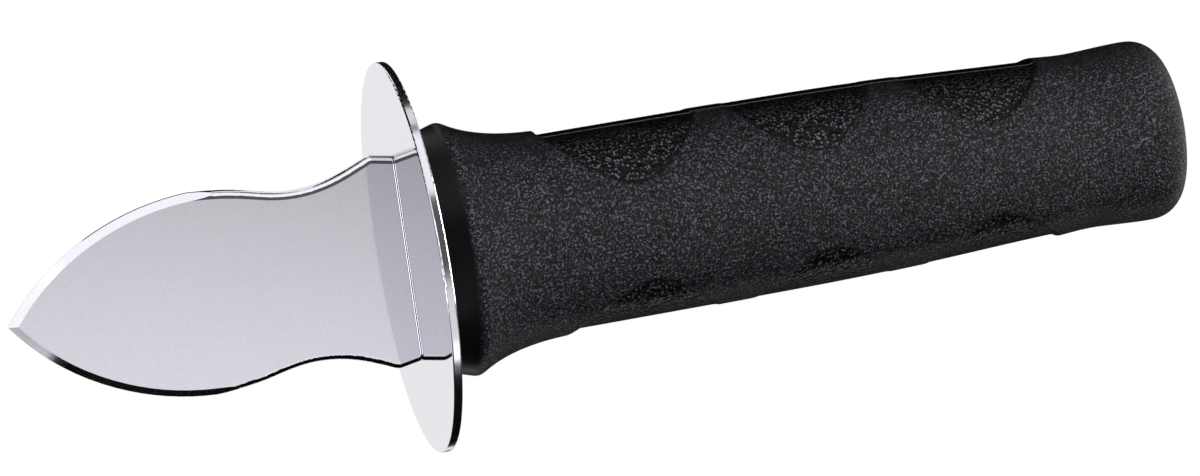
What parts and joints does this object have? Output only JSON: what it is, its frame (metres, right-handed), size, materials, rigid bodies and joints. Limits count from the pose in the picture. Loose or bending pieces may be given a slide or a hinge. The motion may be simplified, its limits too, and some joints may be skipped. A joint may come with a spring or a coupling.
{
  "type": "oyster knife",
  "caption": "Oyster knife: leaf-shaped steel blade with ground rim and broad shoulders, round polished steel hand guard, and a black moulded handle with sunk finger patches.",
  "frame": {"origin": "centre of the guard's front face, where the blade's shoulders seat", "axes": "+X along the knife from the tip to the butt, +Y across the blade's width, +Z square to the blade's flat face"},
  "size_m": [0.1601, 0.0524, 0.0524],
  "materials": {
    "blade_steel": "fine satin flat, cross-ground bevels, polished rounded rim",
    "guard_steel": "mirror-polished stainless steel plate with a rolled rim",
    "handle_plastic": "black, fine eroded grain, coarser leather grain in the finger patches, smooth collar"
  },
  "bodies": {
    "root": {"blade": "blade_steel", "guard": "guard_steel", "handle": "handle_plastic"}
  },
  "joints": []
}
